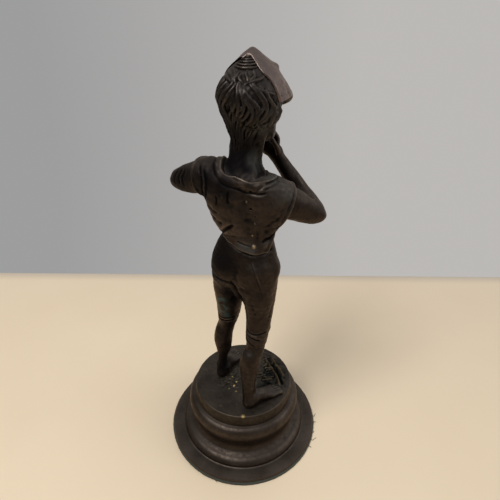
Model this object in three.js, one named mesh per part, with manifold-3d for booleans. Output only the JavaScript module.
// Bronze statuette of a standing barefoot youth in a cap, on a turned round socle.
// Millimetres, +Z up, origin on the table under the socle's axis. The figure faces -Y, its left is +X.
//
// The castings are hollow or solid bronze, joined as a founder joins them: a sleeve and pins at the
// waist, dowels at the neck and shoulders, a pin under the cap, and a stud and nut under each foot.
// A tie rod and a cross bar hold the terrace down on the socle, and a felt pad closes the underside.
import * as THREE from 'three';
import { mergeVertices } from 'three/addons/utils/BufferGeometryUtils.js';
import Module from 'manifold-3d';

const wasm = await Module();
wasm.setup();

// ---- driving dimensions ------------------------------------------------------------------------
const FELT_THICK = 2;
const FELT_RADIUS = 55;
const SOCLE_RADIUS = 55;        // flange of the turned socle
const SOCLE_HEIGHT = 32.5;      // felt to the joint under the terrace drum
const TERRACE_RADIUS = 35;      // upper edge of the terrace drum
const TERRACE_FOOT = 36;        // lower edge of the drum, at the joint
const TERRACE_HEIGHT = 8.5;
const PLATE = 3;                // thickness of the terrace plate over its hollow
const GAP = 0.3;                // clearance left in every fitted joint
const WALL = 3;                 // wall of the hollow castings
const DOWEL = 1.5;              // radius of the small dowels and pins
const STUD = 1.5;               // M3 studs under the feet
const ROD = 2;                  // M4 tie rod
const TURNED = 40;              // facets round the turned pieces
const FLESH = 14;               // facets round a limb

const FELT_TOP = FELT_THICK;
const JOINT_Z = FELT_TOP + SOCLE_HEIGHT;
const GROUND = JOINT_Z + TERRACE_HEIGHT;   // the terrace top, which the feet stand on

// ---- materials ---------------------------------------------------------------------------------
const BRONZE = { color: 0x4b3f37, roughness: 0.5, metalness: 0.85 };
const BRONZE_DARK = { color: 0x3c332d, roughness: 0.55, metalness: 0.8 };
const CAP_BRONZE = { color: 0x5a4c46, roughness: 0.42, metalness: 0.85 };
const BRASS = { color: 0xa98d4c, roughness: 0.35, metalness: 0.95 };
const STEEL = { color: 0x8d8f92, roughness: 0.4, metalness: 0.95 };
const FELT = { color: 0x3f5a52, roughness: 0.95, metalness: 0 };

const object = new THREE.Group();
const figure = new THREE.Group();          // heights inside it are above the terrace top
figure.position.z = GROUND;
object.add(figure);

// ---- solids ------------------------------------------------------------------------------------
// A closed BufferGeometry as a solid.
function solid(geometry) {
  const bare = geometry.clone();
  bare.deleteAttribute('normal');
  bare.deleteAttribute('uv');
  const merged = mergeVertices(bare, 1e-5);
  return new wasm.Manifold(new wasm.Mesh({
    numProp: 3,
    vertProperties: new Float32Array(merged.attributes.position.array),
    triVerts: new Uint32Array(merged.index.array),
  }));
}

// A solid as a named mesh in a group.
function add(group, name, body, look) {
  const out = body.getMesh();
  const geometry = new THREE.BufferGeometry();
  const points = new Float32Array(out.numVert * 3);
  for (let i = 0; i < out.numVert; i += 1) {
    points.set(out.vertProperties.subarray(i * out.numProp, i * out.numProp + 3), i * 3);
  }
  geometry.setAttribute('position', new THREE.BufferAttribute(points, 3));
  geometry.setIndex(new THREE.BufferAttribute(new Uint32Array(out.triVerts), 1));
  geometry.computeVertexNormals();
  const mesh = new THREE.Mesh(geometry, new THREE.MeshStandardMaterial(look));
  mesh.name = name;
  group.add(mesh);
}

function union(bodies) {
  return bodies.reduce((whole, body) => whole.add(body));
}

// A solid of revolution about Z from [radius, height] points, given bottom to top on the outside.
function turned(points, facets = TURNED) {
  const outline = points.map(([r, z]) => new THREE.Vector2(r, z));
  return solid(new THREE.LatheGeometry(outline, facets).rotateX(Math.PI / 2));
}

// A round bar between two points.
function bar(from, to, radius, facets = 12) {
  const a = new THREE.Vector3(...from);
  const b = new THREE.Vector3(...to);
  const along = b.clone().sub(a);
  const geometry = new THREE.CylinderGeometry(radius, radius, along.length(), facets);
  const turn = new THREE.Quaternion().setFromUnitVectors(new THREE.Vector3(0, 1, 0), along.normalize());
  geometry.applyQuaternion(turn);
  geometry.translate((a.x + b.x) / 2, (a.y + b.y) / 2, (a.z + b.z) / 2);
  return solid(geometry);
}

// A block that fills everything on the side of a plane that its normal points to.
function beyond(point, normal) {
  const size = 300;
  const geometry = new THREE.BoxGeometry(size, size, size);
  geometry.translate(0, 0, size / 2);
  const n = new THREE.Vector3(...normal).normalize();
  geometry.applyQuaternion(new THREE.Quaternion().setFromUnitVectors(new THREE.Vector3(0, 0, 1), n));
  geometry.translate(...point);
  return solid(geometry);
}

function ellipsoid(centre, half) {
  const geometry = new THREE.SphereGeometry(1, 18, 10).rotateX(Math.PI / 2);
  geometry.scale(...half);
  geometry.translate(...centre);
  return solid(geometry);
}

// A limb: elliptical rings along a smooth line through its stations. Each station is
// [x, y, z, half width, half depth, turn in degrees]; the width lies along the side vector, and
// steps is how many rings each span between two stations gets.
function limb(stations, side = [1, 0, 0], facets = FLESH, steps = 1) {
  const line = new THREE.CatmullRomCurve3(stations.map((s) => new THREE.Vector3(s[0], s[1], s[2])));
  const size = new THREE.CatmullRomCurve3(stations.map((s) => new THREE.Vector3(s[3], s[4], s[5] ?? 0)));
  line.curveType = 'catmullrom';
  size.curveType = 'catmullrom';
  const rings = (stations.length - 1) * steps + 1;
  const points = [];
  for (let i = 0; i < rings; i += 1) {
    const t = i / (rings - 1);
    const at = line.getPoint(t);
    const along = line.getTangent(t);
    const [half, deep, turn] = size.getPoint(t).toArray();
    const u = new THREE.Vector3(...side).addScaledVector(along, -along.dot(new THREE.Vector3(...side)));
    u.normalize().applyAxisAngle(along, THREE.MathUtils.degToRad(turn));
    const v = new THREE.Vector3().crossVectors(along, u);
    for (let k = 0; k < facets; k += 1) {
      const a = (2 * Math.PI * k) / facets;
      const p = at.clone().addScaledVector(u, half * Math.cos(a)).addScaledVector(v, deep * Math.sin(a));
      points.push(p.x, p.y, p.z);
    }
  }
  const first = points.length / 3;
  points.push(...line.getPoint(0).toArray(), ...line.getPoint(1).toArray());
  const faces = [];
  for (let i = 0; i < rings - 1; i += 1) {
    for (let k = 0; k < facets; k += 1) {
      const a = i * facets + k;
      const b = i * facets + ((k + 1) % facets);
      faces.push(a, b, b + facets, a, b + facets, a + facets);
    }
  }
  for (let k = 0; k < facets; k += 1) {
    const next = (k + 1) % facets;
    const top = (rings - 1) * facets;
    faces.push(first, next, k, first + 1, top + k, top + next);
  }
  const geometry = new THREE.BufferGeometry();
  geometry.setAttribute('position', new THREE.Float32BufferAttribute(points, 3));
  geometry.setIndex(faces);
  return solid(geometry);
}

// ---- planes where the castings meet, heights above the terrace ----------------------------------
const WAIST = { at: [-6, 6, 121], up: [-0.3, 0.12, 1] };
const NECK = { at: [-3, 5, 160.5], up: [-0.35, 0.25, 1] };
const LEFT_SLEEVE = { at: [21, 7, 154.5], up: [0.93, -0.3, -0.2] };
const RIGHT_SLEEVE = { at: [-24, -4.5, 144.5], up: [-0.5, -0.72, -0.48] };

function shifted(plane, by) {
  const n = new THREE.Vector3(...plane.up).normalize();
  return plane.at.map((value, i) => value + n.getComponent(i) * by);
}

// The solid on the lower or upper side of a joint plane, half a gap back from it.
function below(body, plane) {
  return body.subtract(beyond(shifted(plane, -GAP / 2), plane.up));
}

function above(body, plane) {
  return body.subtract(beyond(shifted(plane, GAP / 2), plane.up.map((value) => -value)));
}

// The two ends of a dowel that crosses a joint plane at a point.
function across(point, direction, before, after) {
  const n = new THREE.Vector3(...direction).normalize();
  const end = (by) => point.map((value, i) => value + n.getComponent(i) * by);
  return [end(-before), end(after)];
}

const NECK_DOWEL = across(NECK.at, NECK.up, 7, 7);
const LEFT_DOWEL = across(LEFT_SLEEVE.at, LEFT_SLEEVE.up, 6, 6);
const RIGHT_DOWEL = across(RIGHT_SLEEVE.at, RIGHT_SLEEVE.up, 6, 6);

function hole(ends, radius) {
  const [a, b] = ends.map((end) => new THREE.Vector3(...end));
  const over = b.clone().sub(a).setLength(GAP);
  return bar(a.sub(over).toArray(), b.add(over).toArray(), radius + GAP);
}

// ---- socle, terrace and what holds them ---------------------------------------------------------
const STEP_Z = FELT_TOP + 9;               // the cross bar bears up against this step inside the socle
const BORE = 34;                           // inside of the socle above the step
const COUNTERBORE = 38;                    // and below it
const LEDGE = 29;                          // the opening under the terrace
const CROSS_BAR = { length: 72, width: 9, thick: 2.5 };
const TIE_WASHER = { radius: 5, thick: 0.8 };
const TIE_NUT = { radius: 4, thick: 2.6 };
const ROD_COVER = 2;                       // bronze left between the end of the tie rod and the plate
const ROD_TAIL = 7.5;                      // how far the rod hangs below the step

function arc(centre, half, from, to, count) {
  const points = [];
  for (let i = 0; i <= count; i += 1) {
    const a = THREE.MathUtils.degToRad(from + ((to - from) * i) / count);
    points.push([centre[0] + half[0] * Math.cos(a), centre[1] + half[1] * Math.sin(a)]);
  }
  return points;
}

function socleOutline() {
  const z = (down) => GROUND - down;
  return [
    [COUNTERBORE, FELT_TOP],
    [SOCLE_RADIUS - 0.6, FELT_TOP],
    [SOCLE_RADIUS, FELT_TOP + 0.7],
    [SOCLE_RADIUS - 0.7, z(39)],
    [46.2, z(38.4)],
    ...arc([41, z(38)], [4.8, 8.5], 0, 90, 4),       // ovolo
    ...arc([41.2, z(25)], [3.4, 3.6], 250, 130, 4),  // scotia
    ...arc([36.3, z(15)], [4.6, 6.3], -60, 80, 6),   // cushion
    [TERRACE_FOOT, JOINT_Z],
    [LEDGE, JOINT_Z],
    [LEDGE, JOINT_Z - 3.5],
    [BORE, JOINT_Z - 3.5],
    [BORE, STEP_Z],
    [COUNTERBORE, STEP_Z],
    [COUNTERBORE, FELT_TOP],
  ];
}

const BOSS = { radius: 6, depth: 9 };

function terraceOutline() {
  const under = GROUND - PLATE;
  return [
    [0, under - BOSS.depth],
    [BOSS.radius, under - BOSS.depth],
    [BOSS.radius, under],
    [LEDGE, under],
    [LEDGE, JOINT_Z],
    [TERRACE_FOOT, JOINT_Z],
    [TERRACE_RADIUS + 0.2, GROUND - 0.8],
    [TERRACE_RADIUS - 0.7, GROUND],
    [0, GROUND],
  ];
}

const FOOT_STUDS = { left: [15.4, -2], right: [-17.8, 14] };
const STUD_UP = 7;                         // how far a stud stands into the foot
const STUD_DOWN = 7.5;                     // and how far it hangs under the terrace plate
const FOOT_WASHER = { radius: 3.5, thick: 0.6 };
const FOOT_NUT = { radius: 3.2, thick: 2.4 };
const ROUND = 16;                          // sides of a washer
const HEX = 6;                             // sides of a nut

function studHole([x, y]) {
  return bar([x, y, GROUND - PLATE - STUD_DOWN - 1], [x, y, GROUND + 1], STUD + GAP);
}

function ring(outer, inner, thick, sides) {
  const shape = new THREE.Shape();
  for (let k = 0; k < sides; k += 1) {
    const a = (2 * Math.PI * k) / sides;
    const to = k === 0 ? 'moveTo' : 'lineTo';
    shape[to](outer * Math.cos(a), outer * Math.sin(a));
  }
  const bore = new THREE.Path();
  bore.absarc(0, 0, inner, 0, 2 * Math.PI, true);
  shape.holes.push(bore);
  return new THREE.ExtrudeGeometry(shape, { depth: thick, bevelEnabled: false, curveSegments: 6 });
}

function addBase() {
  const rodTop = GROUND - PLATE - ROD_COVER;
  const rodEnd = STEP_Z - ROD_TAIL;
  const felt = turned([[0, 0], [FELT_RADIUS, 0], [FELT_RADIUS, FELT_TOP], [0, FELT_TOP]]);
  const socle = turned(socleOutline());
  let terrace = turned(terraceOutline()).subtract(bar([0, 0, 0], [0, 0, rodTop + GAP], ROD + GAP));
  for (const place of Object.values(FOOT_STUDS)) {
    terrace = terrace.subtract(studHole(place));
  }
  add(object, 'felt_pad', felt, FELT);
  add(object, 'socle', socle, BRONZE);
  add(object, 'terrace', terrace, BRONZE_DARK);

  const { length, width, thick } = CROSS_BAR;
  const strip = new THREE.BoxGeometry(length, width, thick).translate(0, 0, STEP_Z - thick / 2);
  const barHole = bar([0, 0, 0], [0, 0, GROUND], ROD + GAP);
  add(object, 'cross_bar', solid(strip).subtract(barHole), STEEL);
  add(object, 'tie_rod', bar([0, 0, rodEnd], [0, 0, rodTop], ROD), STEEL);
  const washerZ = STEP_Z - thick - TIE_WASHER.thick;
  const nutZ = washerZ - TIE_NUT.thick;
  const washer = ring(TIE_WASHER.radius, ROD + GAP, TIE_WASHER.thick, ROUND);
  const nut = ring(TIE_NUT.radius, ROD + GAP, TIE_NUT.thick, HEX);
  add(object, 'tie_washer', solid(washer.translate(0, 0, washerZ)), STEEL);
  add(object, 'tie_nut', solid(nut.translate(0, 0, nutZ)), BRASS);
}

function addFootFastenings() {
  const low = GROUND - PLATE - STUD_DOWN;
  const washerZ = GROUND - PLATE - FOOT_WASHER.thick;
  const nutZ = washerZ - FOOT_NUT.thick;
  for (const [side, [x, y]] of Object.entries(FOOT_STUDS)) {
    const washer = ring(FOOT_WASHER.radius, STUD + GAP, FOOT_WASHER.thick, ROUND);
    const nut = ring(FOOT_NUT.radius, STUD + GAP, FOOT_NUT.thick, HEX);
    add(object, `${side}_foot_stud`, bar([x, y, low], [x, y, GROUND + STUD_UP], STUD), BRASS);
    add(object, `${side}_foot_washer`, solid(washer.translate(x, y, washerZ)), STEEL);
    add(object, `${side}_foot_nut`, solid(nut.translate(x, y, nutZ)), BRASS);
  }
}

// ---- the figure, heights above the terrace ------------------------------------------------------
const TORSO = [
  [-6, 6.5, 108, 15.5, 11.5],
  [-6.4, 6.5, 118, 16.2, 12],
  [-7, 6, 126.5, 15, 11.2, 4],
  [-6.6, 5.6, 133, 19.2, 12.2, 8],
  [-4.4, 5, 143, 22.2, 12.8, 12],
  [-3.4, 5, 151, 20.8, 12, 14],
  [-2.8, 5, 158, 15, 10, 14],
  [-2.8, 5, 165, 9, 8.2, 10],
];
const PELVIS = [
  [-6.2, 6.5, 125, 15, 11.5],
  [-6, 6.5, 119, 16.4, 12.2],
  [-4.8, 6.7, 110, 19.8, 13.6],
  [-4.2, 7, 102, 21, 14],
  [-4.6, 7, 95, 19, 12.5],
  [-5, 7, 88, 13, 9],
];
const RIGHT_LEG = [
  [-13.5, 7, 104, 9.5, 12],
  [-14.4, 6.8, 93, 10, 12],
  [-14.5, 7, 82.5, 9.6, 11],
  [-15, 8, 69, 7.9, 8.8],
  [-14.6, 9.6, 57, 7.1, 7.8],
  [-14.3, 11.5, 47, 6.1, 6.7],
  [-13.2, 13.7, 39.5, 6, 6.2],
  [-12.4, 15.6, 32, 6.2, 6.3],
  [-12.4, 17.2, 24, 5.4, 5.5],
  [-12.8, 18.4, 15.5, 4.4, 4.8],
  [-13.6, 18.8, 8, 4.6, 5.2],
  [-14.4, 18.6, 3, 4.6, 5.4],
  [-14.4, 18.6, -0.5, 3.6, 4.2],
];
const LEFT_LEG = [
  [4.8, 7, 103, 9.5, 12],
  [7, 6, 92, 9, 12],
  [8.6, 4.4, 82, 8.4, 11],
  [9.4, 2, 69, 8.2, 9.2],
  [11.6, 0, 54.5, 6.8, 7.4],
  [13.4, -0.3, 47, 5.9, 6.6],
  [15.6, 0.4, 36, 6.1, 6.4],
  [15.6, 1.2, 27, 5.3, 5.4],
  [16, 2, 19, 3.8, 4],
  [16, 2.6, 12.5, 3.3, 4],
  [15.7, 2.6, 6, 4.2, 5],
  [15.6, 2.4, -0.5, 3.6, 4.4],
];

const FEET = {
  left: { heel: [15.4, 6.4], toe: [14.6, -20.5], side: [1, 0, 0] },
  right: { heel: [-13.9, 22.9], toe: [-28.4, -1.2], side: [0.86, -0.51, 0] },
};
const RIGHT_HIP = { at: [-20.5, 4.5, 104], half: [5, 5.5, 6.5] };   // the weight rests on this side

// Stations with every ring grown by an amount.
function grown(stations, by) {
  return stations.map(([x, y, z, half, deep, turn]) => [x, y, z, half + by, deep + by, turn]);
}

// A foot along a line from heel to toes; heights and widths fall and spread towards the toes.
function foot({ heel, toe, side }) {
  const run = (share) => [heel[0] + (toe[0] - heel[0]) * share, heel[1] + (toe[1] - heel[1]) * share];
  const stations = [
    [...run(0), 4.5, 2.6, 3.4],
    [...run(0.12), 5.2, 4.4, 5.6],
    [...run(0.35), 5.8, 4.4, 6.6],
    [...run(0.6), 3.6, 5.2, 4.4],
    [...run(0.82), 2.4, 5.6, 2.9],
    [...run(1), 1.6, 4.4, 1.9],
  ];
  return limb(stations, side, 12, 2);
}

function lowerBody() {
  const skin = union([
    limb(PELVIS, [1, 0, 0], FLESH + 4, 2),
    limb(RIGHT_LEG),
    limb(LEFT_LEG),
    foot(FEET.right),
    foot(FEET.left),
    ellipsoid(RIGHT_HIP.at, RIGHT_HIP.half),
  ]);
  const core = limb(grown(PELVIS.slice(0, 5), -WALL));
  let body = below(skin, WAIST).subtract(core).subtract(beyond([0, 0, GAP], [0, 0, -1]));
  for (const [x, y] of Object.values(FOOT_STUDS)) {
    body = body.subtract(bar([x, y, -2], [x, y, STUD_UP + GAP], STUD + GAP));
  }
  return body;
}

// The sleeved upper arms, each from inside the shoulder to the elbow.
const LEFT_UPPER_ARM = [
  [10, 9, 154.5, 9.4, 9],
  [16, 8.4, 155.5, 10, 9],
  [23, 6.6, 154, 9.4, 8.6],
  [32, 3.6, 151, 8.6, 7.8],
  [41, 0, 148, 7, 7],
  [45.6, -3, 147.4, 4, 4.6],
];
const RIGHT_UPPER_ARM = [
  [-14, 3.5, 149, 9.6, 9],
  [-19, -0.5, 146.5, 10.5, 9],
  [-24.5, -6, 142, 9.6, 8.2],
  [-31, -13.5, 137, 8.2, 7.2],
  [-36.6, -19.5, 133, 6.8, 6.2],
  [-39.6, -23, 131, 3.6, 4],
];

// The bare forearms from the elbow to the wrist, and the hands raised before the chin.
const LEFT_FOREARM = [
  [43, 1, 148, 4, 4],
  [40.5, -4, 148.5, 6.2, 6.2],
  [31, -12, 151, 4.8, 4.8],
  [20, -18, 155, 3.6, 3],
  [11, -20.5, 158.5, 4.2, 2.6],
];
const LEFT_HAND = [
  [15, -19.5, 157, 3, 2.4],
  [9, -21.2, 160, 4.6, 2.6],
  [4.5, -22.2, 165, 4.8, 2.5],
  [3.2, -22, 170, 4, 2],
  [2.6, -21.4, 173.5, 2.6, 1.4],
];
const RIGHT_FOREARM = [
  [-39, -21, 131.5, 3.6, 3.6],
  [-35, -20.6, 135.5, 5.8, 5.8],
  [-29.8, -21.5, 141, 5.4, 5.2],
  [-23, -22.4, 149, 4.4, 4.2],
  [-15.6, -23, 158, 3.5, 3.2],
  [-11, -23, 164, 3.8, 2.6],
];
const RIGHT_HAND = [
  [-12.5, -23, 161, 2.6, 2.2],
  [-9, -23.2, 166, 4.4, 2.6],
  [-6.6, -23, 171, 4.4, 2.4],
  [-5.2, -22.4, 176, 3.6, 1.9],
  [-4.6, -21.8, 180, 2.2, 1.3],
];
const WRIST = 12;                          // facets round a forearm and a hand

// The trunk under the shirt, grown all round by an amount.
function trunk(by = 0) {
  return limb(grown(TORSO, by), [1, 0, 0], FLESH + 4, 2);
}

function upperBody() {
  const skin = union([
    below(trunk(), NECK),
    below(limb(LEFT_UPPER_ARM.slice(0, 4), [0, 0, 1]), LEFT_SLEEVE),
    below(limb(RIGHT_UPPER_ARM.slice(0, 4), [0, 0, 1]), RIGHT_SLEEVE),
  ]);
  const core = limb(grown(TORSO.slice(0, 6), -WALL));
  return above(skin, WAIST)
    .subtract(core)
    .subtract(hole(NECK_DOWEL, DOWEL))
    .subtract(hole(LEFT_DOWEL, DOWEL))
    .subtract(hole(RIGHT_DOWEL, DOWEL));
}

function leftArm() {
  const sleeve = above(limb(LEFT_UPPER_ARM, [0, 0, 1]), LEFT_SLEEVE);
  return union([sleeve, limb(LEFT_FOREARM, [0, 0, 1], WRIST), limb(LEFT_HAND, [0.6, 0, 1], WRIST)])
    .subtract(trunk(GAP))
    .subtract(hole(LEFT_DOWEL, DOWEL));
}

function rightArm() {
  const sleeve = above(limb(RIGHT_UPPER_ARM, [0, 0, 1]), RIGHT_SLEEVE);
  return union([sleeve, limb(RIGHT_FOREARM, [1, 0, 0], WRIST), limb(RIGHT_HAND, [1, 0, 0], WRIST)])
    .subtract(trunk(GAP))
    .subtract(hole(RIGHT_DOWEL, DOWEL));
}

// ---- head and cap, in a frame of their own: origin at the middle of the head, face to -Y ---------
const HEAD_AT = [-4.1, 0.3, 194];
const HEAD_TURN = THREE.MathUtils.degToRad(-15);
const RIM = { at: [0, 2.6, 21.5], up: [0, -0.85, 0.52] };        // the cap's back rim
const BROW = { at: [0, -14, 3.5], up: [0, 0.1, 1] };             // the cap's front edge
const CAP_PIN = [[0, -2, 12], [0, -2, 19.5]];

function headPlaced(body) {
  const turn = new THREE.Matrix4().makeRotationZ(HEAD_TURN).setPosition(...HEAD_AT);
  return body.transform(turn.toArray());
}

const SKULL = { at: [0, 1, 2], half: [15, 17, 15.5] };
const NOSE = { at: [0, -14.6, -3.2], half: [1.8, 2.6, 3.6] };
const FACE = [
  [0, -3, 0, 11.5, 11.8],
  [0, -4, -8, 10, 10.6],
  [0, -6.2, -13, 6.8, 8.4],
  [0, -8.4, -16, 3.4, 4.6],
];
const NAPE = [
  [0, 6, 2, 12, 9],
  [0, 7, -8, 10, 7.5],
  [0, 7.4, -15, 7.4, 5],
  [0, 7, -21, 4.5, 3.6],
];
const THROAT = [                                    // in the figure's frame, from shirt to skull
  [-3.2, 5.4, 150, 7.6, 7.6],
  [-2.8, 5.2, 160, 8.2, 8.2],
  [-2.6, 4.6, 170, 7.4, 7.6],
  [-3, 3.4, 178, 7.6, 8],
  [-3.2, 2, 186, 7, 8],
];
const CROWN = [
  [0, -7], [17, -7], [18.4, 0], [18.2, 5], [15.8, 11], [10.8, 17], [5, 22], [2.4, 24.2], [0, 24.8],
];
const CROWN_DEPTH = 1.1;                            // front to back over side to side
const CROWN_FACETS = 28;
const PEAK_FACETS = 18;
const PEAK = [
  [0, -10, 6.5, 15.5, 3.5],
  [0, -16, 4.2, 15.2, 2.8],
  [0, -20.5, 1.6, 13, 2],
  [0, -22.8, -0.4, 8, 1.3],
  [0, -23.8, -1.2, 3.5, 0.8],
];

function skull() {
  return union([
    ellipsoid(SKULL.at, SKULL.half),
    limb(FACE),
    limb(NAPE),
    ellipsoid(NOSE.at, NOSE.half),
  ]);
}

function capOuter() {
  const crown = turned(CROWN, CROWN_FACETS).scale([1, CROWN_DEPTH, 1]);
  return crown.add(limb(PEAK, [1, 0, 0], PEAK_FACETS));
}

function capSolid() {
  const inside = ellipsoid(SKULL.at, SKULL.half.map((value) => value + 2 * GAP));
  const front = capOuter().subtract(beyond(RIM.at, RIM.up.map((value) => -value)));
  return front.subtract(beyond(BROW.at, BROW.up.map((value) => -value)))
    .subtract(inside)
    .subtract(hole(CAP_PIN, DOWEL));
}

function headSolid() {
  const bare = headPlaced(skull().subtract(hole(CAP_PIN, DOWEL)));
  return above(bare.add(limb(THROAT)), NECK)
    .subtract(hole(NECK_DOWEL, DOWEL));
}

// ---- hidden sleeve and pins ---------------------------------------------------------------------
const SLEEVE_WALL = 2;
const SLEEVE = [
  [-6.2, 6.5, 110, 11.6, 8],
  [-6.4, 6.5, 118, 11.6, 8],
  [-6.8, 6.1, 128, 10.4, 6.8],
];
const WAIST_PINS = {
  left: [[3.4, 6.5, 114], [9.6, 6.5, 114]],
  right: [[-22, 6.5, 111], [-15.6, 6.5, 111]],
};

function waistSleeve() {
  const inner = grown(SLEEVE, -SLEEVE_WALL);
  inner[0][2] -= 1;                        // the bore runs out through both ends
  inner[2][2] += 1;
  return limb(SLEEVE, [1, 0, 0], WRIST).subtract(limb(inner, [1, 0, 0], WRIST));
}

function drilled(body) {
  return Object.values(WAIST_PINS).reduce((rest, pin) => rest.subtract(hole(pin, DOWEL)), body);
}

function addFigure() {
  add(figure, 'lower_body', drilled(lowerBody()), BRONZE_DARK);
  add(figure, 'upper_body', upperBody(), BRONZE);
  add(figure, 'left_arm', leftArm(), BRONZE);
  add(figure, 'right_arm', rightArm(), BRONZE);
  add(figure, 'head', headSolid(), BRONZE_DARK);
  add(figure, 'cap', headPlaced(capSolid()), CAP_BRONZE);
  add(figure, 'waist_sleeve', drilled(waistSleeve()), BRASS);
  for (const [side, pin] of Object.entries(WAIST_PINS)) {
    add(figure, `waist_pin_${side}`, bar(...pin, DOWEL), BRASS);
  }
  add(figure, 'neck_dowel', bar(...NECK_DOWEL, DOWEL), BRASS);
  add(figure, 'left_shoulder_dowel', bar(...LEFT_DOWEL, DOWEL), BRASS);
  add(figure, 'right_shoulder_dowel', bar(...RIGHT_DOWEL, DOWEL), BRASS);
  add(figure, 'cap_pin', headPlaced(bar(...CAP_PIN, DOWEL)), BRASS);
}

addBase();
addFootFastenings();
addFigure();

export default object;
